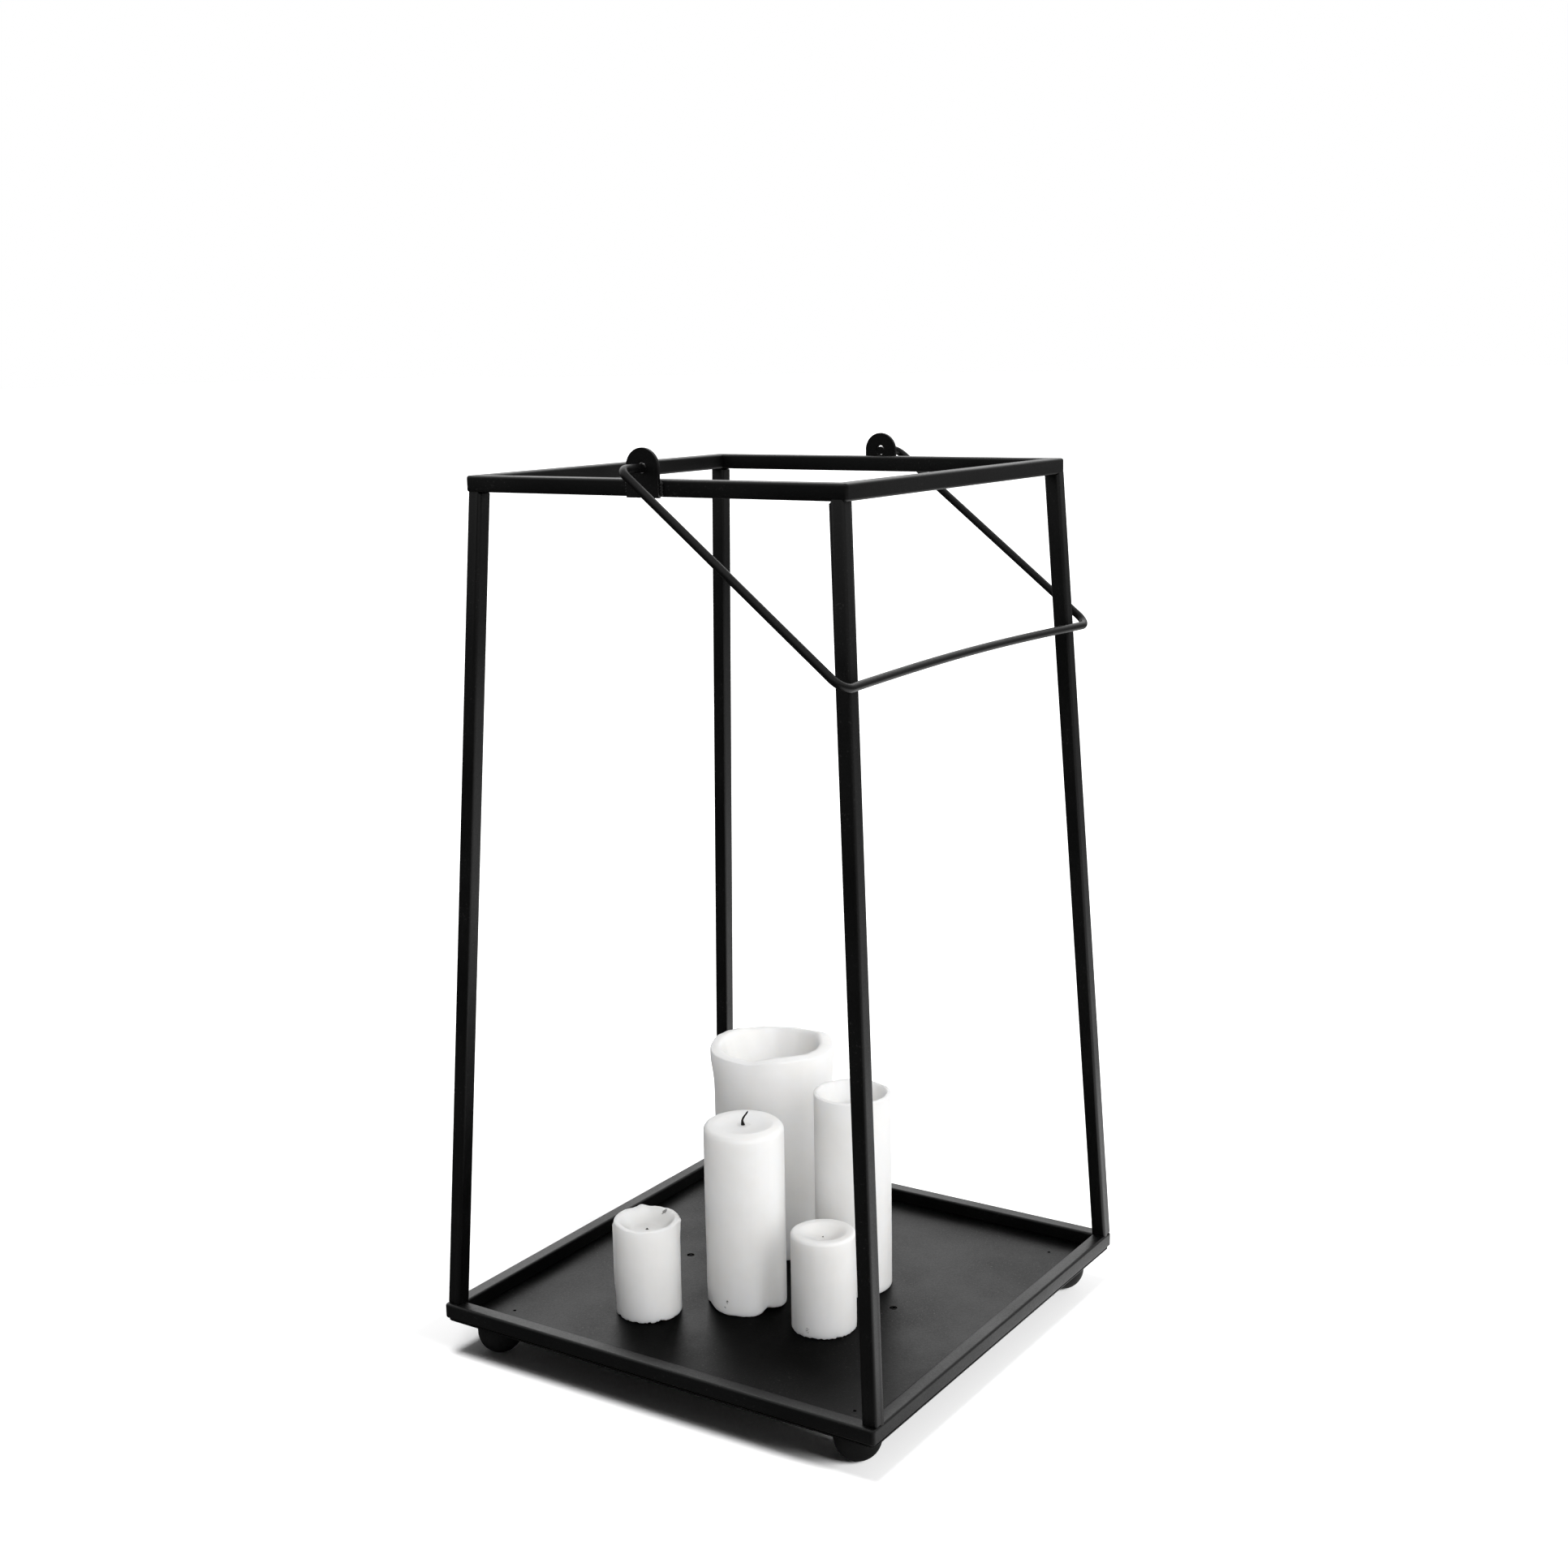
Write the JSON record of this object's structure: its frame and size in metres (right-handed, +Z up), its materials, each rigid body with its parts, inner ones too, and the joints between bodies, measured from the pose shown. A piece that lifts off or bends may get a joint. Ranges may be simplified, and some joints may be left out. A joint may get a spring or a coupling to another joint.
{
  "type": "candle lantern",
  "caption": "Open tapered lantern of black square steel tube on a flat steel tray with dome feet, a swinging wire bail handle, and white pillar candles standing on the tray.",
  "frame": {"origin": "centre of the footprint, on the plane the feet stand on", "axes": "+Z up; the two lugs and the bail's axis lie along Y; at rest the bail hangs down on the +X side"},
  "size_m": [0.39, 0.39, 0.7065],
  "materials": {
    "steel": "satin black powder coat",
    "rubber": "matte black",
    "wax": "smooth white candle wax, slightly translucent",
    "cotton": "burnt braided cotton"
  },
  "bodies": {
    "frame": {"base_rail_front": "steel", "base_rail_right": "steel", "base_rail_back": "steel", "base_rail_left": "steel", "tray_plate": "steel", "upright_front_left": "steel", "upright_front_right": "steel", "upright_back_right": "steel", "upright_back_left": "steel", "top_rail_front": "steel", "top_rail_right": "steel", "top_rail_back": "steel", "top_rail_left": "steel", "lug_front": "steel", "lug_back": "steel", "foot_front_left": "rubber", "foot_front_right": "rubber", "foot_back_right": "rubber", "foot_back_left": "rubber"},
    "bail": {"bail_handle": "steel"},
    "candle_large": {"candle_large": "wax", "wick_large": "cotton"},
    "candle_rear": {"candle_rear": "wax", "wick_rear": "cotton"},
    "candle_middle": {"candle_middle": "wax", "wick_middle": "cotton"},
    "candle_small_left": {"candle_small_left": "wax", "wick_small_left": "cotton"},
    "candle_small_right": {"candle_small_right": "wax", "wick_small_right": "cotton"}
  },
  "joints": [
    {"name": "bail_swing", "type": "hinge", "parent": "frame", "child": "bail", "pos_m": [-0.0013, 0, 0.6907], "axis": [0.0099, -0.9999, 0.0111], "range_deg": [0, 257.6]},
    {"name": "candle_large_lift", "type": "slide", "parent": "frame", "child": "candle_large", "axis": [0, 0, 1], "range_m": [0, 0.72]},
    {"name": "candle_rear_lift", "type": "slide", "parent": "frame", "child": "candle_rear", "axis": [0, 0, 1], "range_m": [0, 0.72]},
    {"name": "candle_middle_lift", "type": "slide", "parent": "frame", "child": "candle_middle", "axis": [0, 0, 1], "range_m": [0, 0.72]},
    {"name": "candle_small_left_lift", "type": "slide", "parent": "frame", "child": "candle_small_left", "axis": [0, 0, 1], "range_m": [0, 0.72]},
    {"name": "candle_small_right_lift", "type": "slide", "parent": "frame", "child": "candle_small_right", "axis": [0, 0, 1], "range_m": [0, 0.72]}
  ]
}
